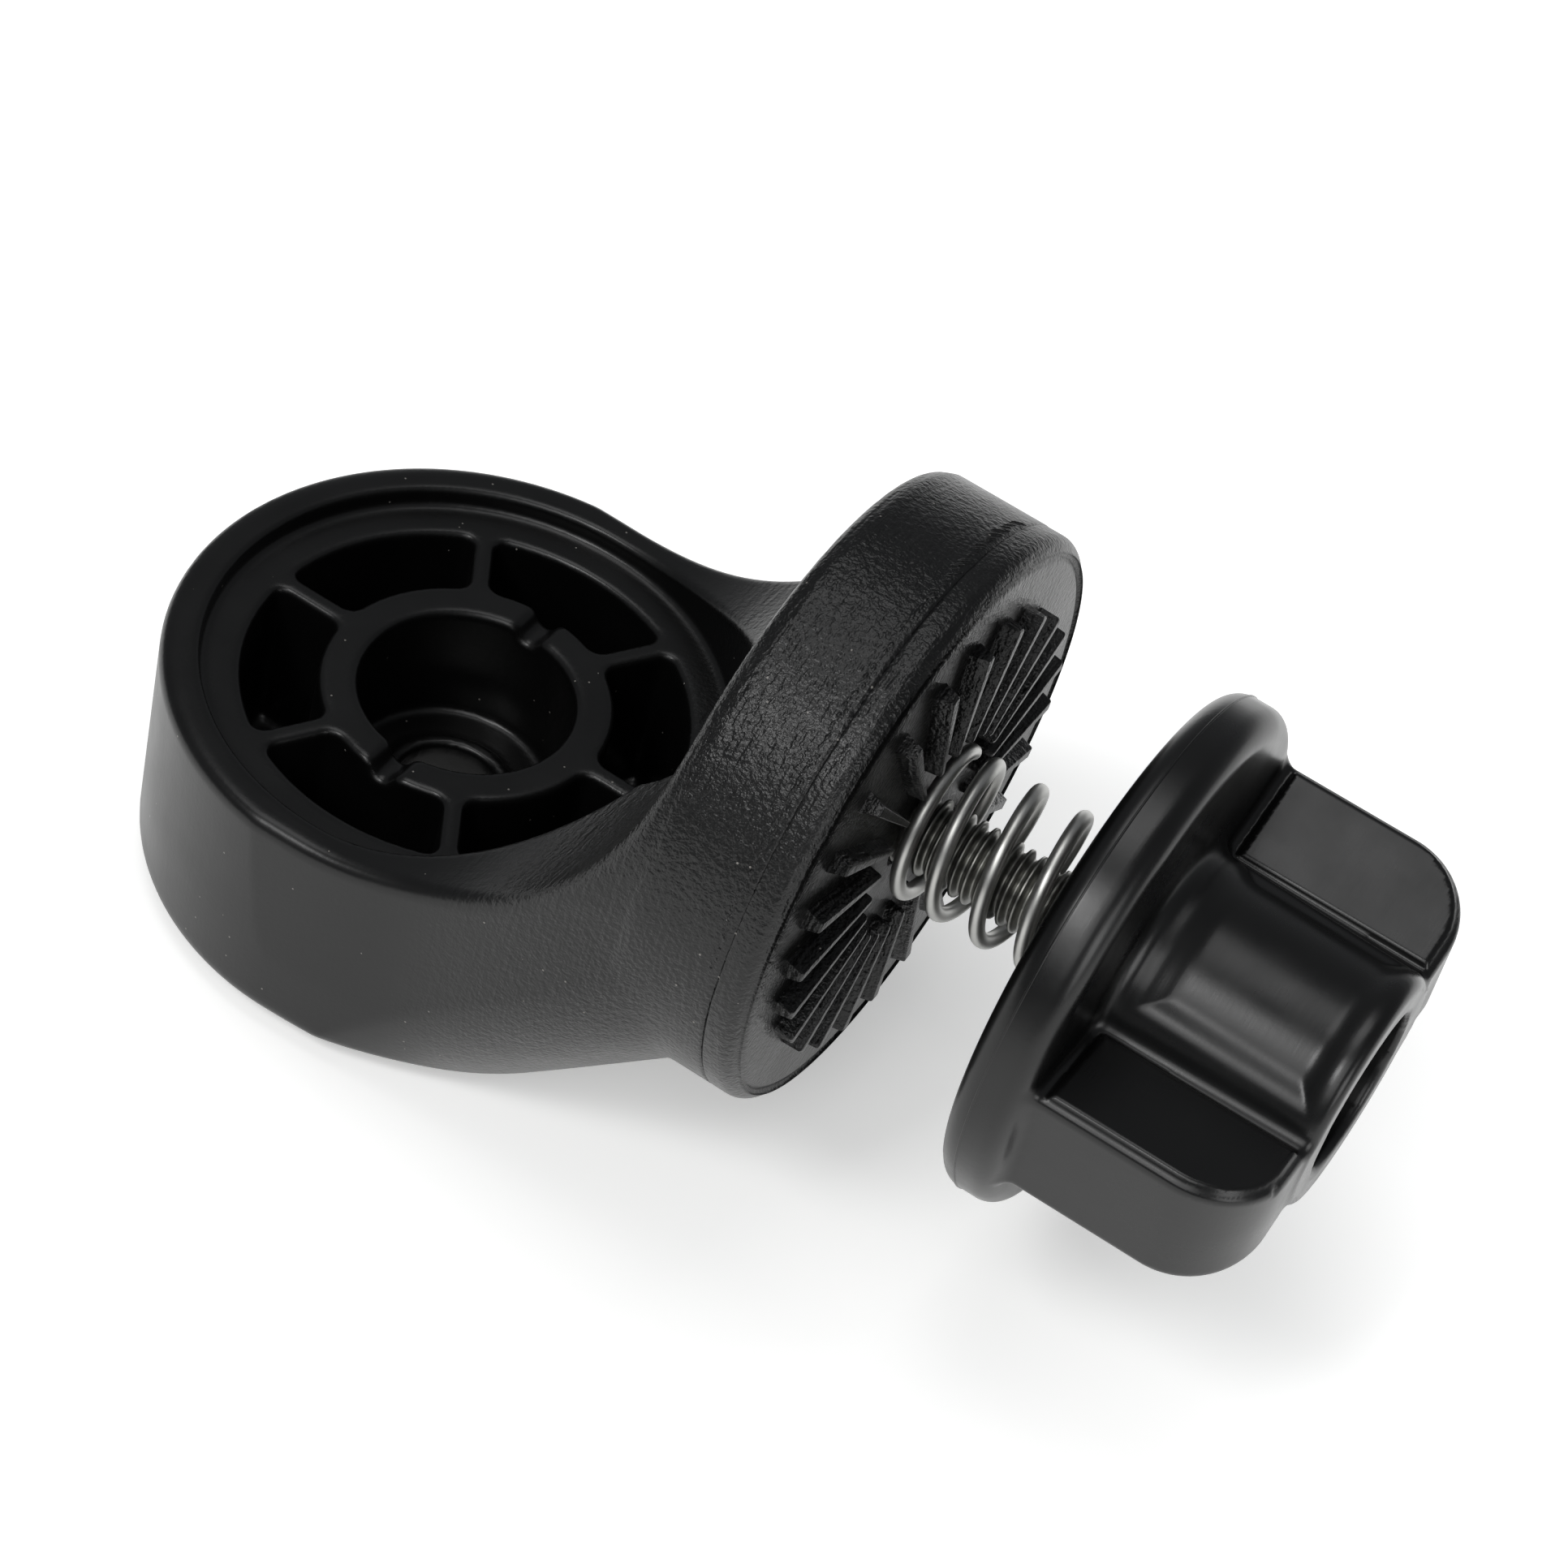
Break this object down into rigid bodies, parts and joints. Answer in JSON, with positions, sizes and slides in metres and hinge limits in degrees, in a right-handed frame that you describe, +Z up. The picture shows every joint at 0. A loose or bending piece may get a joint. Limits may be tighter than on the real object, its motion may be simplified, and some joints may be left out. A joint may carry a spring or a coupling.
{
  "type": "toothed pivot joint",
  "caption": "Right-angle toothed pivot joint with ring eyes at right angles, clamped by a spring-loaded wing knob on a through bolt.",
  "frame": {"origin": "Bottom centre of the bounding box, at the level of the base eye's tooth tips.", "axes": "+X runs from the base eye along the bolt's axis to the wing knob, +Z is up along the base eye's axis, and y = 0 is the moulding's symmetry plane."},
  "size_m": [0.097, 0.0466, 0.0545],
  "materials": {
    "black_nylon": "moulded black nylon, fine spark-eroded grain on the joint eye and satin on the arm",
    "knob_nylon": "moulded black nylon, satin to semi-gloss",
    "zinc_steel": "bright zinc-plated steel, rolled thread",
    "spring_steel": "cold-drawn spring steel wire"
  },
  "bodies": {
    "pivot": {"pivot_body": "black_nylon", "axle_bolt": "zinc_steel", "spring": "spring_steel"},
    "seat": {"seat_washer": "zinc_steel"},
    "knob": {"wing_knob": "knob_nylon", "captive_nut": "zinc_steel"}
  },
  "joints": [
    {"name": "knob_travel", "type": "slide", "parent": "pivot", "child": "seat", "axis": [-1, 0, 0], "range_m": [0, 0.008], "deforming": ["spring"]},
    {"name": "knob_turn", "type": "hinge", "parent": "seat", "child": "knob", "pos_m": [0, 0, 0.0313], "axis": [-1, 0, 0], "range_deg": [0, 2880]}
  ],
  "couplings": [
    {"joint": "knob_travel", "follows": "knob_turn", "m_per_rad": 0.00015915}
  ]
}
